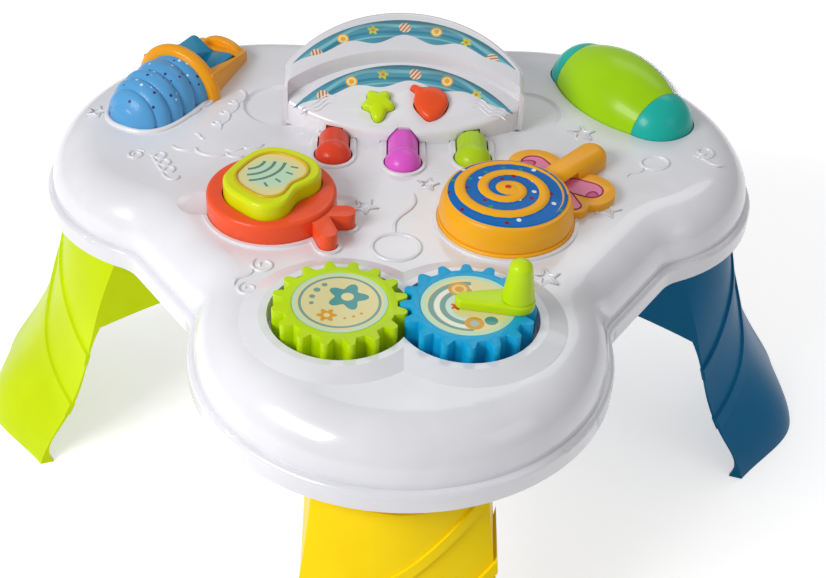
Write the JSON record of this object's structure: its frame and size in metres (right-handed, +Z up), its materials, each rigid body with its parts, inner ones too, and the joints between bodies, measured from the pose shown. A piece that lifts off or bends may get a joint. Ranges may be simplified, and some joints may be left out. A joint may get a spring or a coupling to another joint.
{
  "type": "baby activity table",
  "caption": "Three-lobed baby activity table on plug-in legs, with meshing gears and crank, keys, push buttons, a spinning lollipop, a roller and a rocker.",
  "frame": {"origin": "floor level below the middle of the overall plan", "axes": "+X to the baby's right when facing the music station, +Y towards the music station, +Z up"},
  "size_m": [0.55, 0.483, 0.2401],
  "materials": {
    "white": "moulded gloss",
    "pan_white": "moulded matte",
    "yellow": "moulded gloss",
    "lime": "moulded gloss",
    "blue": "moulded gloss",
    "sky": "moulded gloss",
    "orange_red": "moulded gloss",
    "magenta": "moulded gloss",
    "orange": "moulded gloss",
    "ice_blue": "moulded gloss",
    "teal": "moulded gloss",
    "rocker_teal": "moulded gloss",
    "print_teal": "printed film",
    "print_cream": "printed film",
    "print_blue": "printed film",
    "print_pink": "printed film",
    "clear": "clear moulded plastic",
    "steel": "drawn",
    "board": "lacquered",
    "black": "moulded matte",
    "cell": "wrapped",
    "rubber": "moulded"
  },
  "bodies": {
    "table_body": {"top_shell": "white", "bottom_pan": "pan_white", "leg_front": "yellow", "leg_left": "lime", "leg_right": "blue", "music_station": "white", "upper_band": "print_teal", "lower_band": "print_teal", "key_shaft": "steel", "apple_base": "orange_red", "lollipop_base": "orange", "bow_inlays": "print_pink", "roller_axle": "steel", "ice_cream_swirl": "ice_blue", "cone_frame": "orange", "rocker_pin": "steel", "return_pads": "rubber", "circuit_board": "board", "speaker": "black", "batteries": "cell", "battery_contacts": "steel", "battery_door": "pan_white", "door_screw": "steel", "pan_screws": "steel", "switch_housing": "black"},
    "gear_green_body": {"gear_green": "lime", "label_green": "print_cream"},
    "gear_blue_body": {"gear_blue": "sky", "label_blue": "print_cream", "crank_arm": "lime"},
    "knob_body": {"crank_knob": "lime"},
    "key_left_body": {"key_left": "orange_red"},
    "key_middle_body": {"key_middle": "magenta"},
    "key_right_body": {"key_right": "lime"},
    "star_body": {"star_button": "lime"},
    "balloon_body": {"balloon_button": "orange_red"},
    "apple_body": {"apple_button": "lime", "apple_label": "print_cream"},
    "lollipop_body": {"lollipop_drum": "orange", "lollipop_inlay": "print_blue"},
    "roller_body": {"roller_shell": "lime", "roller_window": "clear", "roller_caps": "teal", "roller_beads": "orange_red"},
    "rocker_body": {"rocker": "rocker_teal"},
    "switch_body": {"power_switch": "black"}
  },
  "joints": [
    {"name": "gear_blue_spin", "type": "hinge", "parent": "table_body", "child": "gear_blue_body", "pos_m": [0.0342, -0.08335, 0.194], "axis": [0, 0, 1], "continuous": true},
    {"name": "gear_green_spin", "type": "hinge", "parent": "table_body", "child": "gear_green_body", "pos_m": [-0.0342, -0.08335, 0.194], "axis": [0, 0, 1], "continuous": true},
    {"name": "knob_spin", "type": "hinge", "parent": "gear_blue_body", "child": "knob_body", "pos_m": [0.0602, -0.08335, 0.214], "axis": [0, 0, 1], "continuous": true},
    {"name": "key_left_hinge", "type": "hinge", "parent": "table_body", "child": "key_left_body", "pos_m": [-0.0432, 0.11665, 0.195], "axis": [1, 0, 0], "range_deg": [0, 3.5], "stiffness_Nm_per_rad": 1.2, "springref_deg": -4.01},
    {"name": "key_middle_hinge", "type": "hinge", "parent": "table_body", "child": "key_middle_body", "pos_m": [0, 0.11665, 0.195], "axis": [1, 0, 0], "range_deg": [0, 3.5], "stiffness_Nm_per_rad": 1.2, "springref_deg": -4.01},
    {"name": "key_right_hinge", "type": "hinge", "parent": "table_body", "child": "key_right_body", "pos_m": [0.0432, 0.11665, 0.195], "axis": [1, 0, 0], "range_deg": [0, 3.5], "stiffness_Nm_per_rad": 1.2, "springref_deg": -4.01},
    {"name": "star_press", "type": "slide", "parent": "table_body", "child": "star_body", "axis": [0, 0.3714, -0.9285], "range_m": [0, 0.0018], "stiffness_N_per_m": 300, "springref_m": -0.001},
    {"name": "balloon_press", "type": "slide", "parent": "table_body", "child": "balloon_body", "axis": [0, 0.3714, -0.9285], "range_m": [0, 0.0018], "stiffness_N_per_m": 300, "springref_m": -0.001},
    {"name": "apple_press", "type": "slide", "parent": "table_body", "child": "apple_body", "axis": [0, 0, -1], "range_m": [0, 0.004], "stiffness_N_per_m": 400, "springref_m": -0.002},
    {"name": "lollipop_spin", "type": "hinge", "parent": "table_body", "child": "lollipop_body", "pos_m": [0.06, 0.01265, 0.202], "axis": [0, 0, 1], "continuous": true},
    {"name": "roller_spin", "type": "hinge", "parent": "table_body", "child": "roller_body", "pos_m": [0.145, 0.15715, 0.189], "axis": [0.5592, -0.829, 0], "continuous": true},
    {"name": "rocker_tilt", "type": "hinge", "parent": "table_body", "child": "rocker_body", "pos_m": [-0.147, 0.15465, 0.1991], "axis": [0.4726, 0.8813, 0], "range_deg": [-24, 0]},
    {"name": "power_slide", "type": "slide", "parent": "table_body", "child": "switch_body", "axis": [1, 0, 0], "range_m": [0, 0.005]}
  ],
  "couplings": [
    {"joint": "gear_green_spin", "follows": "gear_blue_spin", "ratio": -1}
  ]
}
